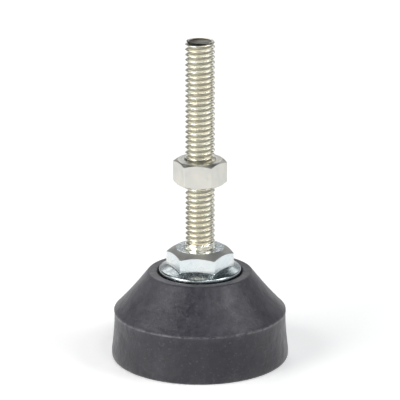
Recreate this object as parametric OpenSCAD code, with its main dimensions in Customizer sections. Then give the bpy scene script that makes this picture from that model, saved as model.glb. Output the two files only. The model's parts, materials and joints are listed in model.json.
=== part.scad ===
// Furniture leveling foot: a rubber bell moulded on a steel core, and a threaded stud with a
// flanged hex collar that turns in the core. The leg nut climbs the stud as the collar is turned.
// The floor is z = 0, and the stud stands on the Z axis.

/* [Rubber foot] */
// Largest diameter, just above the floor
foot_d = 48; // [44:0.5:56]
// Height from the floor to the top rim
foot_h = 24; // [23:0.5:25]
// Diameter where the skirt starts to flare towards the floor
skirt_d = 46.6; // [44:0.2:48]
// Height at which the skirt starts to flare
skirt_h = 8.1; // [5:0.1:10]
// Diameter at the shoulder between skirt and cone
shoulder_d = 46.4; // [42:0.2:48]
// Height of the shoulder above the floor
shoulder_h = 13.1; // [11:0.1:15]
// How far the cone is hollowed between shoulder and rim
cone_dip = 0.2; // [0:0.1:0.6]
// Outer diameter of the flat top rim
rim_d = 28; // [26:0.2:34]
// Diameter of the recess that the collar's flange sits in
recess_d = 23; // [22.8:0.1:24]
// Radius of the edge that meets the floor
base_round = 1.9; // [1:0.1:3]
// Radius of the shoulder and of the rim's outer edge
edge_round = 0.8; // [0.3:0.1:1]
// Radius of the rim's inner edge
recess_round = 0.4; // [0.2:0.1:0.8]

/* [Tread] */
// Number of round grooves in the underside
tread_count = 4; // [2:1:4]
// Radius of the innermost groove's middle
tread_r = 11.2; // [10.6:0.2:12]
// Distance from one groove to the next
tread_step = 3.1; // [2.4:0.1:3.2]
// Width of a groove
tread_w = 1.2; // [0.6:0.1:1.6]
// Depth of a groove
tread_depth = 1; // [0.5:0.1:1.5]
// Diameter of the pocket under the stud's end
pocket_d = 16.4; // [15:0.2:18]

/* [Steel core] */
// Outer diameter of the core's tube
core_tube_d = 14; // [12:0.5:16]
// Diameter of the disc at the top of the tube
core_top_d = 21.2; // [18:0.2:22]
// Thickness of the top disc
core_top_t = 2; // [1.5:0.1:2.5]
// Diameter of the disc at the bottom of the tube
core_base_d = 20.4; // [19:0.2:22]
// Thickness of the bottom disc
core_base_t = 1.8; // [1.2:0.1:2.5]
// Height of the core's underside above the floor
core_z = 7; // [6.8:0.1:8]
// Height of the core's top face above the floor
core_top_z = 22.4; // [21.6:0.1:22.4]

/* [Stud] */
// Major diameter of the 5/16 inch thread
thread_d = 7.9375; // [7.9375]
// Pitch of 18 threads to the inch
pitch = 1.4111; // [1.4111]
// Height of the stud's top above the floor
stud_top = 87.7; // [80:0.1:110]
// Height of the stud's lower end above the floor
stud_z = 4.2; // [4:0.1:4.6]
// Diameter of the plain shank in the core and the collar
shank_d = 8; // [8]
// Chamfer round the stud's top
tip_chamfer = 0.35; // [0.2:0.05:1]
// Diameter of the hollow that thread rolling leaves in the stud's top
cup_d = 6.2; // [5:0.1:6.6]
// Depth of the hollow in the stud's top
cup_depth = 0.6; // [0.2:0.1:1]
// Mouth of each thread groove on the free end, above the leg nut
free_mouth = 0.46; // [0.4:0.02:0.48]
// Mouth of each thread groove from the collar up to the leg nut's top
worn_mouth = 0.64; // [0.56:0.02:0.7]

/* [Hex collar] */
// Width of the hexagon across its flats
hex_af = 15.875; // [15:0.125:16]
// Diameter of the flange under the hexagon
flange_d = 22.2; // [21:0.2:22.4]
// Thickness of the flange at its rim
flange_t = 1.5; // [1.2:0.1:1.8]
// Height of the flange where it meets the hexagon
flange_root = 2.7; // [1.8:0.1:3]
// Height of the whole collar
collar_h = 7.4; // [6:0.1:8]
// Diameter of the collar's flat top face, inside the chamfer
collar_face_d = 12.9; // [12:0.1:15]

/* [Washers and ring] */
// Outer diameter of the thrust washer
thrust_d = 20.6; // [18:0.2:21]
// Thickness of both washers
washer_t = 0.8; // [0.5:0.1:0.9]
// Outer diameter of the retaining washer
keeper_d = 13.6; // [13:0.1:14]
// Outer diameter of the retaining ring
ring_d = 12.3; // [11.5:0.1:12.8]
// Thickness of the retaining ring
ring_t = 0.7; // [0.6:0.1:0.9]
// Width of the retaining ring's mouth
ring_mouth = 5.2; // [4.8:0.1:5.6]

/* [Leg nut] */
// Width of the nut across its flats
nut_af = 12.7; // [12.7]
// Height of the nut
nut_h = 6.75; // [6.75]
// Diameter of the nut's flat end faces, inside the chamfers
nut_face_d = 12; // [11:0.1:12.4]
// Height of the nut's underside above the floor
nut_z = 48.55; // [40:0.05:60]

/* [Hidden] */
$fn = 96;
play = 0.1;              // axial gap between a turning piece and a still one
running = 0.05;          // radial clearance of a piece that turns or climbs on the stud
corner = 1 / cos(30);    // across corners over across flats
thrust_z = core_top_z;
collar_z = thrust_z + washer_t + play;
collar_top = collar_z + collar_h;
keeper_z = core_z - washer_t;
ring_z = keeper_z - play - ring_t;
groove_d = 6;            // floor of the retaining ring's groove
groove_slack = 0.05;     // axial gap on each side of the ring in its groove
ring_seat_d = groove_d + 2 * running;
ring_relief_d = 8.6;     // between the ring's lobes
ring_lobe_w = 2.6;
thread_z = collar_top + pitch;
nut_top = nut_z + nut_h;
nut_sink = 0.5;          // countersink at each end of the nut's thread
shank_chamfer = 0.5;     // round the shank's lower end
neck_depth = 0.4;        // radial depth of the thread's run-out above the collar
flange_edge = 0.25;      // chamfer round the lower edge of the flange's rim
flange_round = 0.6;      // round of the upper edge of the flange's rim
turned_slope = tan(30);  // rise of the cone that turns off a hexagon's corners
over = 1;                // how far a cut runs past a face

// Points on a round edge, from angle a0 to a1 about [x, z]
function arc(x, z, r, a0, a1, steps = 5) =
    [for (i = [0:steps]) let (a = a0 + (a1 - a0) * i / steps) [x + r * cos(a), z + r * sin(a)]];

// Points between a and b on a shallow curve to the left of the way from a to b
function bowed(a, b, dip, steps = 6) =
    let (away = b - a, side = [away[1], -away[0]] / norm(away))
    [for (i = [1:steps - 1]) let (t = i / steps) a + t * away - 4 * t * (1 - t) * dip * side];

module ring_of(outer_d, inner_d, z, height) {
    translate([0, 0, z])
        difference() {
            cylinder(d = outer_d, h = height);
            translate([0, 0, -over])
                cylinder(d = inner_d, h = height + 2 * over);
        }
}

// Outline of the bell without its hollows: floor, skirt, shoulder, cone and top rim
module bell_outline() {
    cone_lean = atan2(shoulder_d / 2 - rim_d / 2, foot_h - shoulder_h);
    shoulder = arc(shoulder_d / 2 - edge_round, shoulder_h - edge_round / 2, edge_round,
                   0, cone_lean);
    rim = arc(rim_d / 2 - edge_round, foot_h - edge_round, edge_round, cone_lean, 90);
    polygon(concat(
        [[0, 0]],
        arc(foot_d / 2 - base_round, base_round, base_round, -90, 0),
        [[skirt_d / 2, skirt_h]],
        shoulder,
        bowed(shoulder[len(shoulder) - 1], rim[0], cone_dip),
        rim,
        arc(recess_d / 2 + recess_round, foot_h - recess_round, recess_round, 90, 180),
        [[recess_d / 2, core_top_z], [0, core_top_z]]
    ));
}

// The core's outer form, which the rubber is moulded around
module core_form() {
    translate([0, 0, core_z])
        cylinder(d = core_base_d, h = core_base_t);
    translate([0, 0, core_z])
        cylinder(d = core_tube_d, h = core_top_z - core_z);
    translate([0, 0, core_top_z - core_top_t])
        cylinder(d = core_top_d, h = core_top_t);
}

module rubber_foot() {
    color([0.22, 0.22, 0.24])
        difference() {
            rotate_extrude()
                bell_outline();
            core_form();
            translate([0, 0, -over])
                cylinder(d = pocket_d, h = core_z + over);
            for (i = [0:tread_count - 1])
                ring_of(2 * (tread_r + i * tread_step) + tread_w,
                        2 * (tread_r + i * tread_step) - tread_w, -over, over + tread_depth);
        }
}

module steel_core() {
    color([0.55, 0.56, 0.58])
        difference() {
            core_form();
            translate([0, 0, core_z - over])
                cylinder(d = shank_d + 2 * running, h = core_top_z - core_z + 2 * over);
        }
}

module thrust_washer() {
    color([0.88, 0.87, 0.82])
        ring_of(thrust_d, shank_d + 2 * running, thrust_z, washer_t);
}

module retaining_washer() {
    color([0.7, 0.72, 0.74])
        ring_of(keeper_d, shank_d + 2 * running, keeper_z, washer_t);
}

// A V groove of 60 degrees around the stud
module thread_groove(z, mouth) {
    depth = mouth / 2 / tan(30);
    slope = mouth / 2 / depth;
    translate([0, 0, z])
        rotate_extrude()
            polygon([[thread_d / 2 - depth, 0],
                     [thread_d / 2 + over, -(depth + over) * slope],
                     [thread_d / 2 + over, (depth + over) * slope]]);
}

module threaded_stud() {
    shank_r = shank_d / 2;
    thread_r = thread_d / 2;
    neck_r = thread_r - neck_depth;
    color([0.83, 0.82, 0.76])
        difference() {
            rotate_extrude()
                polygon([[0, stud_z], [shank_r - shank_chamfer, stud_z],
                         [shank_r, stud_z + shank_chamfer],
                         [shank_r, ring_z - groove_slack], [groove_d / 2, ring_z - groove_slack],
                         [groove_d / 2, ring_z + ring_t + groove_slack],
                         [shank_r, ring_z + ring_t + groove_slack],
                         [shank_r, collar_top], [neck_r, collar_top + neck_depth],
                         [neck_r, thread_z - neck_depth], [thread_r, thread_z],
                         [thread_r, stud_top - tip_chamfer],
                         [thread_r - tip_chamfer, stud_top],
                         [cup_d / 2, stud_top], [0, stud_top - cup_depth]]);
            for (z = [thread_z + pitch / 2 : pitch : stud_top - tip_chamfer - pitch / 2])
                thread_groove(z, z < nut_top + pitch ? worn_mouth : free_mouth);
        }
}

// A hexagonal prism, with its upper corners turned off down to a round face
module hex_body(af, face_d, z, height) {
    blank_r = af / 2 * corner + over;
    face_r = face_d / 2;
    intersection() {
        translate([0, 0, z])
            cylinder(r = af / 2 * corner, h = height, $fn = 6);
        rotate_extrude()
            polygon([[0, z], [blank_r, z],
                     [blank_r, z + height - (blank_r - face_r) * turned_slope],
                     [face_r, z + height], [0, z + height]]);
    }
}

module hex_collar() {
    rim_r = flange_d / 2;
    color([0.78, 0.82, 0.84])
        difference() {
            union() {
                hex_body(hex_af, collar_face_d, collar_z + flange_t / 2, collar_h - flange_t / 2);
                translate([0, 0, collar_z])
                    rotate_extrude()
                        polygon(concat(
                            [[0, 0], [rim_r - flange_edge, 0], [rim_r, flange_edge]],
                            arc(rim_r - flange_round, flange_t - flange_round, flange_round, 0, 90),
                            [[hex_af / 2, flange_root], [0, flange_root]]
                        ));
            }
            translate([0, 0, collar_z - over])
                cylinder(d = shank_d, h = collar_h + 2 * over);
        }
}

// A snap ring for a shaft groove: a split ring that grips with three inward lobes
module retaining_ring() {
    color([0.35, 0.34, 0.33])
        translate([0, 0, ring_z])
            linear_extrude(ring_t)
                difference() {
                    circle(d = ring_d);
                    difference() {
                        circle(d = ring_relief_d);
                        for (a = [90, 210, 330])
                            rotate(a)
                                translate([0, -ring_lobe_w / 2])
                                    square([ring_d / 2, ring_lobe_w]);
                    }
                    circle(d = ring_seat_d);
                    translate([-ring_mouth / 2, -ring_d])
                        square([ring_mouth, ring_d]);
                }
}

module leg_nut() {
    bore_r = thread_d / 2 + running;
    color([0.72, 0.72, 0.68])
        difference() {
            intersection() {
                hex_body(nut_af, nut_face_d, nut_z, nut_h);
                translate([0, 0, nut_z + nut_top])
                    mirror([0, 0, 1])
                        hex_body(nut_af, nut_face_d, nut_z, nut_h);
            }
            rotate_extrude()
                polygon([[0, nut_z - over], [bore_r + nut_sink + over, nut_z - over],
                         [bore_r, nut_z + nut_sink], [bore_r, nut_top - nut_sink],
                         [bore_r + nut_sink + over, nut_top + over], [0, nut_top + over]]);
        }
}

rubber_foot();
steel_core();
thrust_washer();
retaining_washer();
threaded_stud();
hex_collar();
retaining_ring();
leg_nut();
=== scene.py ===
"""Looks of the furniture leveling foot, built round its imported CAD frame.

Everything is in the frame's metres, +Z up, with the floor at z = 0 and the stud on the Z axis.
"""

import json
import math

import bpy
import bmesh
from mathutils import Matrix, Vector, noise


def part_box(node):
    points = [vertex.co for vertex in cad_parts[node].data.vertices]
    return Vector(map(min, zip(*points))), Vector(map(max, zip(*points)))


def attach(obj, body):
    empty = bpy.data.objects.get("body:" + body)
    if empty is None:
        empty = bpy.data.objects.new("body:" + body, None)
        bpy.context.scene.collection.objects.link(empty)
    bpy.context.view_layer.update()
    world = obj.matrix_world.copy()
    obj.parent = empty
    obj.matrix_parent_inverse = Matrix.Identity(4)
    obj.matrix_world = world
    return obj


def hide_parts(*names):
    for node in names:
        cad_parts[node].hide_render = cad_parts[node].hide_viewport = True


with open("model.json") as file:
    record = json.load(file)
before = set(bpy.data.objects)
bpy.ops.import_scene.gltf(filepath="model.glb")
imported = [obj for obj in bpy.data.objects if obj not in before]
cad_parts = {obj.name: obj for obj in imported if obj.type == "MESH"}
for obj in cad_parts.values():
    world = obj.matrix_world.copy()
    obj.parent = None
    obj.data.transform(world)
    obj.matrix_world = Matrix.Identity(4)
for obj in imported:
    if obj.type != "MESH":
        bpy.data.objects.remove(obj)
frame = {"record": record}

MM = 0.001
TAU = 2 * math.pi
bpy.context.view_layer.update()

# Sizes that the frame gives
record = frame["record"]
foot_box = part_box("rubber_foot")
core_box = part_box("steel_core")
stud_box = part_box("threaded_stud")
collar_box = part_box("hex_collar")
nut_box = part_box("leg_nut")
FOOT_R = foot_box[1][1]
FOOT_H = foot_box[1][2]
CORE_R = core_box[1][0]
CORE_Z, CORE_TOP = core_box[0][2], core_box[1][2]
STUD_Z, STUD_TOP = stud_box[0][2], stud_box[1][2]
SHANK_R = stud_box[1][0]
COLLAR_Z, COLLAR_TOP = collar_box[0][2], collar_box[1][2]
FLANGE_R = collar_box[1][1]
NUT_Z, NUT_TOP = nut_box[0][2], nut_box[1][2]
NUT_FLAT_R = nut_box[1][1]
PITCH = record["behaviour"]["couplings"][0]["ratio"] * TAU
THREAD_R = next(m["dims"]["r_mm"] for m in record["mounts"] if m["name"] == "stud_thread") * MM

# Sizes of the design, as in the CAD
BASE_ROUND = 1.9 * MM
SKIRT_R, SKIRT_H = 23.3 * MM, 8.1 * MM
SHOULDER_R, SHOULDER_H = 23.2 * MM, 13.1 * MM
CONE_DIP = 0.2 * MM
EDGE_ROUND, RECESS_ROUND = 0.8 * MM, 0.4 * MM
RIM_R = 14.0 * MM
RECESS_R = 11.5 * MM
POCKET_R = 8.2 * MM
CORE_TUBE_R = 7.0 * MM
CORE_BASE_R, CORE_BASE_T, CORE_TOP_T = 10.2 * MM, 1.8 * MM, 2.0 * MM
TREAD_R, TREAD_STEP, TREAD_W, TREAD_DEPTH, TREAD_COUNT = 11.2 * MM, 3.1 * MM, 1.2 * MM, 1.0 * MM, 4
HEX_FLAT_R = 15.875 / 2 * MM
FLANGE_T, FLANGE_ROOT, FLANGE_EDGE = 1.5 * MM, 2.7 * MM, 0.65 * MM
COLLAR_FACE_R = 6.45 * MM
NUT_FACE_R = 6.0 * MM
RING_GROOVE_R = 3.0 * MM
TIP_CHAMFER = 0.35 * MM
CUP_R, CUP_DEPTH = 3.1 * MM, 0.6 * MM
TURNED = math.tan(math.radians(30))  # fall of a hexagon's turned-off corner for each length outward
RUNNING = 0.05 * MM  # clearance of a turning piece, on the radius

# Sizes that only the looks have
THREAD_START = COLLAR_TOP + 0.35 * MM
THREAD_DEPTH, CREST_LAND, THREAD_EASE = 0.6134 * PITCH, PITCH / 8, 0.06 * MM
RUN_OUT = 1.6 * PITCH
TIP_SLOPE = 0.95
NUT_THREAD_GAP = 0.06 * MM
FLASH_H, FLASH_W, FLASH_OUT = SHOULDER_H - 0.1 * MM, 0.22 * MM, 0.16 * MM
WAVE_SPAN, WAVE_OUT = 9 * MM, 0.05 * MM
GATE_R, GATE_ANGLE = 9.55 * MM, math.radians(40)
GATE_SCAR_R, GATE_SCAR_DEPTH = 0.7 * MM, 0.25 * MM
MERGE = 0.0002 * MM


# ---------------------------------------------------------------- meshes

def rounded(corners, steps=5):
    """A closed (r, z) outline in which each (r, z, radius) corner has become a smooth bend."""
    points = []
    for i, (r, z, radius) in enumerate(corners):
        here = Vector((r, z))
        if not radius:
            points += [here] * (steps + 1)
            continue
        back = Vector(corners[i - 1][:2]) - here
        ahead = Vector(corners[(i + 1) % len(corners)][:2]) - here
        half = back.angle(ahead) / 2
        reach = min(radius / math.tan(half), 0.49 * back.length, 0.49 * ahead.length)
        start, end = here + back.normalized() * reach, here + ahead.normalized() * reach
        for k in range(steps + 1):
            t = k / steps
            points.append(here.lerp(start, 1 - t).lerp(end.lerp(here, 1 - t), t))
    return points


def filled(outline, step):
    """The outline with points added so that none are further apart than step."""
    points = []
    for a, b in zip(outline, outline[1:] + outline[:1]):
        count = max(1, math.ceil((b - a).length / step))
        points += [a.lerp(b, k / count) for k in range(count)]
    return points


def turn(angle, r, z):
    return Vector((r * math.cos(angle), r * math.sin(angle), z))


def skin(columns, closed_round=True, closed_along=True, capped=False):
    """A bmesh over equal columns of points, with points that coincide joined."""
    mesh = bmesh.new()
    rows = len(columns[0])
    grid = [[mesh.verts.new(p) for p in column] for column in columns]
    last = len(grid) if closed_round else len(grid) - 1
    for i in range(last):
        here, beside = grid[i], grid[(i + 1) % len(grid)]
        for j in range(rows if closed_along else rows - 1):
            k = (j + 1) % rows
            mesh.faces.new((here[j], beside[j], beside[k], here[k]))
    if capped:
        mesh.faces.new(grid[0])
        mesh.faces.new(reversed(grid[-1]))
    bmesh.ops.remove_doubles(mesh, verts=mesh.verts, dist=MERGE)
    bmesh.ops.dissolve_degenerate(mesh, edges=mesh.edges, dist=MERGE)
    bmesh.ops.recalc_face_normals(mesh, faces=mesh.faces)
    return mesh


def piece(name, mesh, material, body, node, sharp=32):
    """Turns a bmesh into an object that stands for a CAD node and rides on its body."""
    data = bpy.data.meshes.new(name)
    mesh.to_mesh(data)
    mesh.free()
    data.shade_smooth()
    data.set_sharp_from_angle(angle=math.radians(sharp))
    data.materials.append(material)
    made = bpy.data.objects.new(name, data)
    bpy.context.scene.collection.objects.link(made)
    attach(made, body)
    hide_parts(node)


def lathe(outline, count):
    """A bmesh of an outline turned round the Z axis."""
    return skin([[turn(TAU * i / count, p.x, p.y) for p in outline] for i in range(count)])


# ---------------------------------------------------------------- threads

def soft_clamp(x, low, high, ease):
    """x held between low and high, with the corners eased over a length."""
    raised = low + (x - low + math.hypot(x - low, ease)) / 2
    return high - (high - raised + math.hypot(high - raised, ease)) / 2


def thread_depth(turns):
    """How far the 60 degree thread form lies below its crest, by turns from a crest's middle."""
    away = abs(turns - round(turns)) * PITCH
    flank = (away - CREST_LAND / 2) / math.tan(math.radians(30))
    return soft_clamp(flank, 0, THREAD_DEPTH, THREAD_EASE)


# Where a turn of the thread needs points, in turns from the crest's middle
THREAD_ROWS = [0, 0.04, 0.07, 0.11, 0.17, 0.25, 0.33, 0.38, 0.43, 0.5,
               0.57, 0.62, 0.67, 0.75, 0.83, 0.89, 0.93, 0.96]


def thread_wall(angle, low, high):
    """Heights from low to high at which a thread's column at this angle needs its points."""
    start = math.floor(low / PITCH) - 2
    end = math.ceil(high / PITCH) + 2
    heights = [(k + row + angle / TAU) * PITCH for k in range(start, end) for row in THREAD_ROWS]
    return [min(max(z, low), high) for z in heights]


def thread_turns(angle, z):
    return z / PITCH - angle / TAU


def one_turn_on(wall):
    """A rising thread wall's points from one turn further up, where its first column meets its last."""
    rows = len(THREAD_ROWS)
    return wall[rows:] + [wall[-1]] * rows


# ---------------------------------------------------------------- node materials

class Paint:
    """A small writer of node materials."""

    def __init__(self, name):
        self.material = bpy.data.materials.new(name)
        self.material.use_nodes = True
        self.tree = self.material.node_tree
        self.shader = self.tree.nodes["Principled BSDF"]

    def node(self, kind, **settings):
        made = self.tree.nodes.new(kind)
        for key, value in settings.items():
            setattr(made, key, value)
        return made

    def link(self, source, target):
        self.tree.links.new(source, target)

    def put(self, socket, value):
        """Sets a socket to a number or colour, or links an output to it."""
        if hasattr(value, "is_linked"):
            self.link(value, socket)
        else:
            socket.default_value = value

    def place(self):
        """Position in the piece's own frame, in metres."""
        return self.node("ShaderNodeTexCoord").outputs["Object"]

    def stretched(self, scale):
        """Position scaled along each axis."""
        made = self.node("ShaderNodeMapping")
        self.link(self.place(), made.inputs["Vector"])
        made.inputs["Scale"].default_value = scale
        return made.outputs["Vector"]

    def grain(self, scale, detail=3, rough=0.55, vector=None, distortion=0):
        made = self.node("ShaderNodeTexNoise")
        self.link(vector or self.place(), made.inputs["Vector"])
        made.inputs["Scale"].default_value = scale
        made.inputs["Detail"].default_value = detail
        made.inputs["Roughness"].default_value = rough
        made.inputs["Distortion"].default_value = distortion
        return made.outputs["Fac"]

    def cells(self, scale):
        made = self.node("ShaderNodeTexVoronoi")
        self.link(self.place(), made.inputs["Vector"])
        made.inputs["Scale"].default_value = scale
        return made.outputs["Distance"]

    def spread(self, value, low, high, to_low=0.0, to_high=1.0):
        """Maps low..high of a value to to_low..to_high."""
        made = self.node("ShaderNodeMapRange", clamp=True)
        self.put(made.inputs["Value"], value)
        names = ("From Min", "From Max", "To Min", "To Max")
        for name, number in zip(names, (low, high, to_low, to_high)):
            made.inputs[name].default_value = number
        return made.outputs["Result"]

    def math(self, operation, a, b=0.0):
        made = self.node("ShaderNodeMath", operation=operation)
        self.put(made.inputs[0], a)
        self.put(made.inputs[1], b)
        return made.outputs[0]

    def times(self, a, b):
        return self.math("MULTIPLY", a, b)

    def plus(self, a, b):
        return self.math("ADD", a, b)

    def mix(self, share, a, b):
        """Colour a where share is 0 and colour b where it is 1."""
        made = self.node("ShaderNodeMix", data_type="RGBA")
        self.put(made.inputs[0], share)
        self.put(made.inputs[6], a)
        self.put(made.inputs[7], b)
        return made.outputs[2]

    def coat(self, color, where, strength, tint):
        """A colour with a tint laid over it, where and as strongly as given."""
        return self.mix(self.times(where, strength), color, tint)

    def edges(self, low, high):
        """1 along worn convex edges and 0 elsewhere."""
        return self.spread(self.node("ShaderNodeNewGeometry").outputs["Pointiness"], low, high)

    def axis_distance(self):
        """Distance from the Z axis."""
        flat = self.stretched((1, 1, 0))
        made = self.node("ShaderNodeVectorMath", operation="LENGTH")
        self.link(flat, made.inputs[0])
        return made.outputs["Value"]

    def upright(self):
        """1 on upright faces and 0 on sloping ones."""
        made = self.node("ShaderNodeSeparateXYZ")
        self.link(self.node("ShaderNodeNewGeometry").outputs["True Normal"], made.inputs[0])
        return self.spread(self.math("ABSOLUTE", made.outputs["Z"]), 0.3, 0.1)

    def height(self):
        """Height above the piece's origin."""
        made = self.node("ShaderNodeSeparateXYZ")
        self.link(self.place(), made.inputs[0])
        return made.outputs["Z"]

    def bump(self, height, distance, normal=None, strength=1.0):
        made = self.node("ShaderNodeBump")
        made.inputs["Strength"].default_value = strength
        made.inputs["Distance"].default_value = distance
        self.link(height, made.inputs["Height"])
        if normal:
            self.link(normal, made.inputs["Normal"])
        return made.outputs["Normal"]

    def finish(self, color, roughness, normal=None, **constants):
        self.put(self.shader.inputs["Base Color"], color)
        self.put(self.shader.inputs["Roughness"], roughness)
        if normal:
            self.link(normal, self.shader.inputs["Normal"])
        for key, value in constants.items():
            self.shader.inputs[key.replace("_", " ")].default_value = value
        return self.material


def rgb(red, green, blue):
    return (red, green, blue, 1)


def rubber_material():
    """Charcoal moulded rubber: mottled bloom, a scuffed flash line and dust at the floor; painted light: the
    cone painted paler than the skirt, faint stripes on it as painted highlights, painted shade on the skirt
    and a painted highlight along the flash line.
    """
    p = Paint("charcoal_rubber")
    height = p.height()
    bloom = p.spread(p.grain(120, 5, 0.6, distortion=0.5), 0.36, 0.66)
    mottle = p.spread(p.grain(620, 5, 0.7), 0.36, 0.64)
    # faint lighter stripes along the slope, laid on the cone as painted highlights
    painted_highlight_streak = p.spread(p.grain(330, 4, 0.6, p.stretched((1, 1, 0.22))), 0.46, 0.68)
    speck = p.spread(p.grain(1300, 4, 0.65), 0.585, 0.70)
    # painted light: mottle and stripes are laid on more strongly above the shoulder, so the cone is painted
    # paler than the skirt
    pale = p.spread(height, SHOULDER_H - 1 * MM, SHOULDER_H + 1 * MM, 0.5, 0.76)
    # painted shade: the skirt below the shoulder is darkened
    skirt = p.spread(height, SHOULDER_H, SHOULDER_H - 2 * MM)
    # wear along the flash line, with a painted highlight where the shoulder's rounding catches the light
    from_flash = p.math("ABSOLUTE", p.math("SUBTRACT", height, FLASH_H))
    worn = p.times(p.spread(from_flash, 0.42 * MM, 0.12 * MM), p.spread(p.grain(520, 4, 0.7), 0.36, 0.62))
    dust = p.times(p.spread(height, 4 * MM, 0.3 * MM), p.spread(p.grain(480, 5, 0.7), 0.46, 0.7))
    color = p.mix(bloom, rgb(0.0115, 0.0105, 0.0175), rgb(0.0215, 0.0203, 0.0300))
    color = p.coat(color, mottle, pale, rgb(0.041, 0.039, 0.0525))
    color = p.coat(color, painted_highlight_streak, p.times(pale, 0.62), rgb(0.062, 0.0595, 0.074))
    color = p.coat(color, skirt, 0.45, rgb(0.006, 0.0054, 0.010))
    color = p.coat(color, speck, 0.4, rgb(0.110, 0.107, 0.118))
    color = p.coat(color, worn, 0.9, rgb(0.135, 0.132, 0.142))
    color = p.coat(color, dust, 0.4, rgb(0.09, 0.086, 0.082))
    rough = p.plus(p.spread(p.grain(240, 5, 0.65), 0.32, 0.68, 0.34, 0.50), p.times(mottle, 0.07))
    normal = p.bump(p.grain(260, 3, 0.55), 0.34 * MM, strength=0.8)
    normal = p.bump(p.grain(900, 4, 0.65), 0.09 * MM, normal, 0.8)
    normal = p.bump(p.cells(3600), 0.014 * MM, normal, 0.6)
    return p.finish(color, rough, normal, Specular_IOR_Level=0.5, Sheen_Weight=0.22, Sheen_Roughness=0.45)


def plating(name, cool, warm, roughness):
    """The start of bright zinc plating that drifts between two tints: its paint, colour and roughness."""
    p = Paint(name)
    drift = p.spread(p.grain(160, 3, 0.5, distortion=0.6), 0.35, 0.65)
    stain = p.spread(p.grain(520, 5, 0.7), 0.58, 0.75)
    color = p.coat(p.mix(drift, cool, warm), stain, 0.35, rgb(0.42, 0.43, 0.42))
    rough = p.spread(p.grain(700, 4, 0.65), 0.3, 0.7, roughness, roughness + 0.14)
    return p, color, rough


def plated(p, color, rough):
    """The end of plating: fine scratches and a slight grain."""
    scratches = p.grain(900, 2, 0.5, p.stretched((1, 1, 0.12)))
    normal = p.bump(scratches, 0.006 * MM, strength=0.6)
    normal = p.bump(p.grain(3200, 2), 0.003 * MM, normal, 0.5)
    return p.finish(color, rough, normal, Metallic=1.0)


def collar_zinc_material():
    """Blue zinc, rougher where the corners are turned off and painted dark there as a painted dark
    reflection, with painted shade at the foot of the faces and a stain along the root that also stands for
    painted shade in the crease.
    """
    p, color, rough = plating("blue_zinc", rgb(0.68, 0.745, 0.775), rgb(0.755, 0.785, 0.78), 0.17)
    axis_distance, height = p.axis_distance(), p.height()
    cone = p.plus(p.times(axis_distance, TURNED), height)
    cone_level = COLLAR_TOP + COLLAR_FACE_R * TURNED
    # the band where the corners are turned off: rougher, and painted dark as a painted dark reflection
    turned = p.times(p.spread(cone, cone_level - 0.12 * MM, cone_level - 0.04 * MM),
                     p.spread(axis_distance, COLLAR_FACE_R, COLLAR_FACE_R + 0.2 * MM))
    root = COLLAR_Z + FLANGE_ROOT
    # painted shade in the crease at the foot of the hexagon's faces
    painted_crease_shade = p.times(p.upright(), p.spread(height, root + 0.6 * MM, root - 0.5 * MM))
    # a stain along the root line, which also darkens the crease as painted shade
    stain = p.times(p.spread(height, root + 0.1 * MM, root - 0.1 * MM),
                    p.spread(p.grain(420, 4, 0.6, distortion=0.8), 0.35, 0.65, 0.12, 0.64))
    color = p.mix(turned, color, rgb(0.50, 0.50, 0.48))
    color = p.coat(color, painted_crease_shade, 0.8, rgb(0.16, 0.17, 0.18))
    color = p.mix(stain, color, rgb(0.32, 0.38, 0.41))
    return plated(p, color, p.plus(rough, p.times(turned, 0.2)))


def stud_zinc_material():
    """Warm zinc with painted shade between the thread's crests, and the cup in the stud's end painted near
    black: a bare end, darkened further as a painted dark reflection.
    """
    p, color, rough = plating("stud_zinc", rgb(0.92, 0.905, 0.80), rgb(0.94, 0.895, 0.755), 0.18)
    axis_distance, height = p.axis_distance(), p.height()
    root_r = THREAD_R - THREAD_DEPTH
    deep = p.spread(axis_distance, root_r + 0.62 * THREAD_DEPTH, root_r + 0.08 * THREAD_DEPTH)
    # painted shade in the thread's roots
    painted_crease_shade = p.times(deep, p.spread(height, STUD_TOP - 0.02 * MM, STUD_TOP - 0.1 * MM))
    # the cup in the stud's end: a bare end, painted near black as a painted dark reflection
    cup = p.times(p.spread(axis_distance, CUP_R, CUP_R - 0.15 * MM),
                  p.spread(height, STUD_TOP - 2 * CUP_DEPTH, STUD_TOP - 1.5 * CUP_DEPTH))
    color = p.coat(color, painted_crease_shade, 0.66, rgb(0.2, 0.19, 0.15))
    color = p.coat(color, cup, 0.85, rgb(0.06, 0.057, 0.05))
    return plated(p, color, p.plus(rough, p.times(painted_crease_shade, 0.15)))


def nut_zinc_material():
    return plated(*plating("nut_zinc", rgb(0.60, 0.60, 0.57), rgb(0.68, 0.66, 0.60), 0.28))


def washer_zinc_material():
    return plated(*plating("washer_zinc", rgb(0.58, 0.62, 0.66), rgb(0.66, 0.67, 0.68), 0.24))


def acetal_material():
    """Natural acetal, slightly see-through and faintly mottled."""
    p = Paint("natural_acetal")
    color = p.mix(p.grain(300), rgb(0.74, 0.73, 0.67), rgb(0.82, 0.81, 0.76))
    rough = p.spread(p.grain(900), 0.3, 0.7, 0.34, 0.46)
    normal = p.bump(p.grain(1800), 0.004 * MM)
    return p.finish(color, rough, normal, Subsurface_Weight=0.15, Subsurface_Scale=1 * MM)


def turned_steel_material():
    """Turned steel with concentric tool marks and a film of oil."""
    p = Paint("turned_steel")
    mark_pitch = 0.16 * MM
    rings = p.math("SINE", p.times(p.axis_distance(), TAU / mark_pitch))
    color = p.mix(p.grain(350, 4), rgb(0.34, 0.34, 0.35), rgb(0.46, 0.46, 0.47))
    rough = p.spread(p.grain(800), 0.3, 0.7, 0.28, 0.42)
    return p.finish(color, rough, p.bump(rings, 0.003 * MM), Metallic=1.0)


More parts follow.
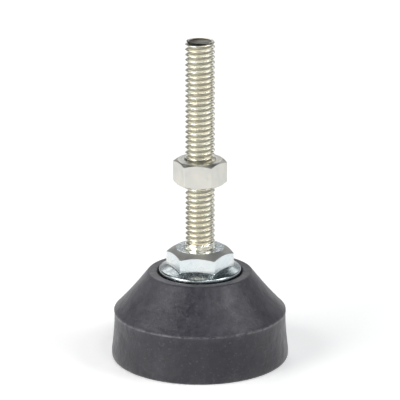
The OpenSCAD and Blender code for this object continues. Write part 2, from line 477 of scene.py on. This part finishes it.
def phosphate_material():
    """Black phosphated spring steel, dull, with bare metal along its edges."""
    p = Paint("phosphated_spring_steel")
    color = p.mix(p.grain(900, 4), rgb(0.055, 0.053, 0.05), rgb(0.10, 0.097, 0.09))
    color = p.mix(p.edges(0.54, 0.62), color, rgb(0.38, 0.37, 0.35))
    rough = p.spread(p.grain(1400), 0.3, 0.7, 0.45, 0.62)
    return p.finish(color, rough, p.bump(p.grain(4000, 2), 0.004 * MM), Metallic=0.8)


# ---------------------------------------------------------------- pieces

def rubber_outline():
    """Outline of the moulded bell, from the pocket's roof out under the floor and over the top."""
    corners = [(POCKET_R, CORE_Z, 0.2 * MM), (POCKET_R, 0, 0.5 * MM)]
    for i in range(TREAD_COUNT):
        middle = TREAD_R + i * TREAD_STEP
        for side, z in ((-1, 0), (-0.8, TREAD_DEPTH), (0.8, TREAD_DEPTH), (1, 0)):
            corners.append((middle + side * TREAD_W / 2, z, 0.2 * MM))
    overshoot = 1.33  # the bend in the cone's middle reaches three quarters of the way to its corner
    cone = Vector((FOOT_H - SHOULDER_H, SHOULDER_R - RIM_R)).normalized() * overshoot * CONE_DIP
    corners += [
        (FOOT_R, 0, BASE_ROUND),
        (FOOT_R, BASE_ROUND, 3 * MM),
        (SKIRT_R, SKIRT_H, 60 * MM),
        (SHOULDER_R, SHOULDER_H, EDGE_ROUND),
        ((SHOULDER_R + RIM_R) / 2 - cone.x, (SHOULDER_H + FOOT_H) / 2 - cone.y, 200 * MM),
        (RIM_R, FOOT_H, EDGE_ROUND),
        (RECESS_R, FOOT_H, RECESS_ROUND),
        (RECESS_R, CORE_TOP, 0.3 * MM),
        (CORE_R, CORE_TOP, 0),
        (CORE_R, CORE_TOP - CORE_TOP_T, 0),
        (CORE_TUBE_R, CORE_TOP - CORE_TOP_T, 0),
        (CORE_TUBE_R, CORE_Z + CORE_BASE_T, 0),
        (CORE_BASE_R, CORE_Z + CORE_BASE_T, 0),
        (CORE_BASE_R, CORE_Z, 0),
    ]
    return filled(rounded(corners), 0.7 * MM)


def rubber_point(angle, r, z):
    """A point of the bell with what moulding leaves: slight waviness, the flash line and the gate's scar."""
    past_tread = z > 0.3 * MM
    past_recess = r > CORE_R + 2.5 * MM
    if past_tread and past_recess:
        wave = noise.noise(turn(angle, r, z) / WAVE_SPAN)
        ragged = noise.noise(turn(angle, 1.0, 7.0) * 3) * 0.5 + 1
        flash = math.exp(-((z - FLASH_H) / FLASH_W) ** 2)
        r += (wave - 1) * WAVE_OUT + FLASH_OUT * ragged * flash
    from_gate = (turn(angle, r, 0) - turn(GATE_ANGLE, GATE_R, 0)).length
    if z < 0.1 * MM and from_gate < GATE_SCAR_R:
        z += GATE_SCAR_DEPTH * (1 - (from_gate / GATE_SCAR_R) ** 4)
    return turn(angle, r, z)


def build_rubber_foot():
    count = 240
    outline = rubber_outline()
    columns = [[rubber_point(TAU * i / count, p.x, p.y) for p in outline] for i in range(count)]
    piece("rubber_bell", skin(columns), rubber_material(), "foot", "rubber_foot", sharp=50)


def build_steel_core(material):
    bore = SHANK_R + RUNNING
    edge = 0.15 * MM
    outline = rounded([
        (bore, CORE_Z, edge), (CORE_BASE_R, CORE_Z, 0), (CORE_BASE_R, CORE_Z + CORE_BASE_T, edge),
        (CORE_TUBE_R, CORE_Z + CORE_BASE_T, edge), (CORE_TUBE_R, CORE_TOP - CORE_TOP_T, edge),
        (CORE_R, CORE_TOP - CORE_TOP_T, edge), (CORE_R, CORE_TOP, edge), (bore, CORE_TOP, 0.3 * MM),
    ])
    piece("core_bush", lathe(outline, 128), material, "foot", "steel_core")


def build_washer(name, node, material, edge):
    """A flat ring in its CAD node's place, with two of its edges rounded more than the others."""
    low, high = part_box(node)
    bore = SHANK_R + RUNNING
    outline = rounded([(bore, low.z, edge), (high.x, low.z, edge * 0.4),
                       (high.x, high.z, edge), (bore, high.z, edge * 0.4)])
    piece(name, lathe(outline, 128), material, "foot", node)


def stud_radius(angle, z):
    """Radius of the threaded part: the thread runs out at the start and is turned off at the tip."""
    fade = min(max((z - THREAD_START) / RUN_OUT, 0), 1)
    thread = THREAD_R - thread_depth(thread_turns(angle, z)) * fade * fade * (3 - 2 * fade)
    cone = THREAD_R - TIP_CHAMFER + (STUD_TOP - z) * TIP_SLOPE
    return min(thread, cone)


def shank_outline():
    """The plain shank from its centred lower end up to the thread, with the retaining ring's groove."""
    ring_low, ring_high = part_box("retaining_ring")
    centre_r, centre_depth = 1.6 * MM, 0.25 * MM
    chamfer, edge = 0.5 * MM, 0.06 * MM
    corners = [
        (0, STUD_Z + centre_depth, 0),
        (centre_r, STUD_Z, 0.3 * MM),
        (SHANK_R - chamfer, STUD_Z, 0.1 * MM),
        (SHANK_R, STUD_Z + chamfer, 0.1 * MM),
        (SHANK_R, ring_low.z - RUNNING, edge),
        (RING_GROOVE_R, ring_low.z - RUNNING, edge),
        (RING_GROOVE_R, ring_high.z + RUNNING, edge),
        (SHANK_R, ring_high.z + RUNNING, edge),
        (SHANK_R, COLLAR_TOP, 0.1 * MM),
        (THREAD_R, THREAD_START, 0),
        (0, THREAD_START, 0),
    ]
    steps = 4
    return rounded(corners, steps)[:-(steps + 1)]


def cup_outline():
    """The stud's upper end: a land, and the shallow cup that rolling the thread leaves."""
    tip_r = THREAD_R - TIP_CHAMFER
    land = [Vector((tip_r - 0.05 * MM, STUD_TOP)), Vector((CUP_R + 0.06 * MM, STUD_TOP))]
    shares = (0.995, 0.97, 0.92, 0.84, 0.72, 0.56, 0.38, 0.2, 0)
    cup = [Vector((CUP_R * share, STUD_TOP - CUP_DEPTH * (1 - share ** 2.4) ** 0.7)) for share in shares]
    return land + cup


def build_stud(material):
    count = 96
    below, cup = shank_outline(), cup_outline()
    columns = []
    for i in range(count):
        angle = TAU * i / count
        wall = [turn(angle, stud_radius(angle, z), z) for z in thread_wall(angle, THREAD_START, STUD_TOP)]
        columns.append([turn(angle, p.x, p.y) for p in below] + wall + [turn(angle, p.x, p.y) for p in cup])
    first = columns[0]
    low, high = len(below), len(first) - len(cup)
    columns.append(first[:low] + one_turn_on(first[low:high]) + first[high:])
    mesh = skin(columns, closed_round=False, closed_along=False)
    piece("stud_rod", mesh, material, "stud", "threaded_stud", sharp=40)


def hexagon(flat_r, edge, per_side=8, per_edge=5):
    """Points round a hexagon whose flats face +Y and -Y and whose upright edges are rounded."""
    points = []
    sixth, half = math.radians(60), math.radians(30)
    centre_r = (flat_r - edge) / math.cos(half)
    for k in range(6):
        corner = sixth * k
        centre = turn(corner, centre_r, 0)
        arc = [centre + turn(corner + half * (2 * j / per_edge - 1), edge, 0) for j in range(per_edge + 1)]
        following = turn(corner + sixth, centre_r, 0) + turn(corner + half, edge, 0)
        points += arc + [arc[-1].lerp(following, j / per_side) for j in range(1, per_side)]
    return points


def build_hex_collar(material):
    """The flange, its fillet and the hexagon, with the top turned off at 30 degrees."""
    bore = SHANK_R + 0.01 * MM
    rise = (FLANGE_ROOT - FLANGE_T) / (FLANGE_R - HEX_FLAT_R)
    columns = []
    for p in hexagon(HEX_FLAT_R, 0.35 * MM):
        side, angle = p.length, math.atan2(p.y, p.x)
        drop = (side - COLLAR_FACE_R) * TURNED
        outline = rounded([
            (bore, COLLAR_Z, 0.2 * MM),
            (FLANGE_R, COLLAR_Z, 0.35 * MM),
            (FLANGE_R, COLLAR_Z + FLANGE_T, FLANGE_EDGE),
            (side, COLLAR_Z + FLANGE_ROOT - (side - HEX_FLAT_R) * rise, 0.5 * MM),
            (side, COLLAR_TOP - drop, 0.2 * MM),
            (COLLAR_FACE_R, COLLAR_TOP, 0.25 * MM),
            (SHANK_R + 0.45 * MM, COLLAR_TOP, 0.08 * MM),
            (bore, COLLAR_TOP - 0.4 * MM, 0.05 * MM),
        ], 6)
        columns.append([turn(angle, q.x, q.y) for q in outline])
    piece("flanged_hexagon", skin(columns), material, "stud", "hex_collar", sharp=36)


def build_leg_nut(material):
    """A hexagon nut with both ends turned off, countersunk, and cut with the stud's own helix."""
    sink_r = THREAD_R + 0.35 * MM
    columns = []
    for p in hexagon(NUT_FLAT_R, 0.3 * MM):
        side, angle = p.length, math.atan2(p.y, p.x) % TAU
        drop = (side - NUT_FACE_R) * TURNED
        outline = rounded([
            (sink_r, NUT_Z, 0),
            (NUT_FACE_R, NUT_Z, 0.1 * MM),
            (side, NUT_Z + drop, 0.15 * MM),
            (side, NUT_TOP - drop, 0.15 * MM),
            (NUT_FACE_R, NUT_TOP, 0.1 * MM),
            (sink_r, NUT_TOP, 0),
        ])
        wall = []
        for z in thread_wall(angle, NUT_Z, NUT_TOP):
            cut = THREAD_R + NUT_THREAD_GAP - thread_depth(thread_turns(angle, z))
            cone = sink_r - min(z - NUT_Z, NUT_TOP - z)
            wall.append(turn(angle, max(cut, cone), z))
        columns.append((angle, [turn(angle, q.x, q.y) for q in outline], wall))
    columns.sort(key=lambda column: column[0])
    _, outside, wall = columns[0]
    columns.append((TAU, outside, one_turn_on(wall)))
    mesh = skin([outside + wall[::-1] for _, outside, wall in columns], closed_round=False)
    piece("hexagon_nut", mesh, material, "nut", "leg_nut", sharp=36)


def build_retaining_ring(material):
    """A snap ring: an open ring with three lobes that reach into the stud's groove."""
    low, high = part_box("retaining_ring")
    seat, relief, outside = RING_GROOVE_R + RUNNING, 4.3 * MM, high.x
    mouth, half_mouth = math.radians(270), math.radians(27)
    lobes = [math.radians(degrees) for degrees in (90, 218, 322)]
    half_lobe, ease = math.radians(21), math.radians(2)
    count = 120
    columns = []
    for i in range(count + 1):
        angle = mouth + half_mouth + (TAU - 2 * half_mouth) * i / count
        near = min(abs((angle - lobe + math.pi) % TAU - math.pi) for lobe in lobes)
        reach = 1 / (1 + math.exp((near - half_lobe) / ease))
        inside = relief + (seat - relief) * reach
        outline = rounded([(inside, low.z, 0.08 * MM), (outside, low.z, 0.08 * MM),
                           (outside, high.z, 0.16 * MM), (inside, high.z, 0.16 * MM)], 4)
        columns.append([turn(angle, q.x, q.y) for q in outline])
    mesh = skin(columns, closed_round=False, capped=True)
    piece("snap_ring", mesh, material, "stud", "retaining_ring")


# ---------------------------------------------------------------- studio

def build_floor():
    """A wide pale floor with a faint unevenness."""
    half = 30.0
    data = bpy.data.meshes.new("floor")
    z = -0.01 * MM
    data.from_pydata([(-half, -half, z), (half, -half, z), (half, half, z), (-half, half, z)],
                     [], [(0, 1, 2, 3)])
    p = Paint("pale_floor")
    color = p.mix(p.grain(6), rgb(0.93, 0.93, 0.93), rgb(0.95, 0.95, 0.95))
    rough = p.spread(p.grain(30), 0.3, 0.7, 0.6, 0.7)
    paint = p.finish(color, rough, Specular_IOR_Level=0.2, Emission_Color=rgb(1, 1, 1), Emission_Strength=0.3)
    data.materials.append(paint)
    floor = bpy.data.objects.new("floor", data)
    bpy.context.scene.collection.objects.link(floor)


def build_world():
    """Light that is bright round the horizon and dim overhead, as under a table."""
    world = bpy.data.worlds.new("studio")
    world.use_nodes = True
    tree = world.node_tree
    place = tree.nodes.new("ShaderNodeTexCoord")
    split = tree.nodes.new("ShaderNodeSeparateXYZ")
    ramp = tree.nodes.new("ShaderNodeValToRGB")
    tree.links.new(place.outputs["Generated"], split.inputs[0])
    tree.links.new(split.outputs["Z"], ramp.inputs[0])
    tree.links.new(ramp.outputs[0], tree.nodes["Background"].inputs["Color"])
    ramp.color_ramp.elements[0].position = 0.05
    ramp.color_ramp.elements[0].color = (0.5, 0.5, 0.5, 1)
    ramp.color_ramp.elements[1].position = 0.6
    ramp.color_ramp.elements[1].color = (0.035, 0.045, 0.05, 1)
    tree.nodes["Background"].inputs["Strength"].default_value = 1.0
    bpy.context.scene.world = world


def soft_light(name, azimuth, elevation, size, radiance, color=(1, 1, 1)):
    """An area light 2.2 m from the foot, at an azimuth and elevation in degrees."""
    a, e = math.radians(azimuth), math.radians(elevation)
    distance = 2.2
    data = bpy.data.lights.new(name, "AREA")
    data.shape = "RECTANGLE"
    data.size, data.size_y = size
    data.energy = radiance * math.pi * size[0] * size[1]
    data.color = color
    light = bpy.data.objects.new(name, data)
    way = Vector((math.sin(a) * math.cos(e), -math.cos(a) * math.cos(e), math.sin(e)))
    middle = Vector((0, 0, STUD_TOP / 2))
    light.location = middle + way * distance
    light.rotation_mode = "QUATERNION"
    light.rotation_quaternion = (-way).to_track_quat("-Z", "Y")
    bpy.context.scene.collection.objects.link(light)


def build_camera():
    """The photograph's view: a little to the right of the front, 0.73 m away and 0.27 m above the floor."""
    azimuth = math.radians(5.5)
    away, up = 0.73, 0.274
    spare = 1.22
    data = bpy.data.cameras.new("camera")
    camera = bpy.data.objects.new("camera", data)
    camera.location = (away * math.sin(azimuth), -away * math.cos(azimuth), up)
    middle = Vector((0, 0, STUD_TOP / 2))
    view = middle - camera.location
    camera.rotation_mode = "QUATERNION"
    camera.rotation_quaternion = view.to_track_quat("-Z", "Y")
    data.sensor_width = 36
    data.lens = data.sensor_width * view.length / (STUD_TOP * spare)
    data.clip_start, data.clip_end = 0.01, 100
    bpy.context.scene.collection.objects.link(camera)
    bpy.context.scene.camera = camera


def build_studio():
    build_floor()
    build_world()
    soft_light("left_box", -64, 38, (1.7, 0.9), 4.4, (1.0, 0.99, 0.97))
    soft_light("low_left_box", -46, 14, (1.4, 0.5), 8.5, (1.0, 0.99, 0.96))
    soft_light("right_box", 78, 40, (1.0, 0.9), 6.6, (0.98, 0.99, 1.0))
    soft_light("high_right_box", 40, 60, (0.45, 0.45), 7.5)
    soft_light("back_left_box", -165, 38, (0.95, 0.9), 2.7)
    soft_light("back_right_box", 160, 29, (0.6, 0.35), 1.7)
    soft_light("front_box", 14, 28, (1.1, 1.0), 1.1)
    bpy.context.scene.view_settings.view_transform = "Standard"


# ---------------------------------------------------------------- the foot

collar_zinc = collar_zinc_material()
stud_zinc = stud_zinc_material()
nut_zinc = nut_zinc_material()
washer_zinc = washer_zinc_material()

build_rubber_foot()
build_steel_core(turned_steel_material())
build_washer("thrust_ring", "thrust_washer", acetal_material(), 0.12 * MM)
build_washer("keeper_ring", "retaining_washer", washer_zinc, 0.15 * MM)
build_stud(stud_zinc)
build_hex_collar(collar_zinc)
build_retaining_ring(phosphate_material())
build_leg_nut(nut_zinc)
build_studio()
build_camera()
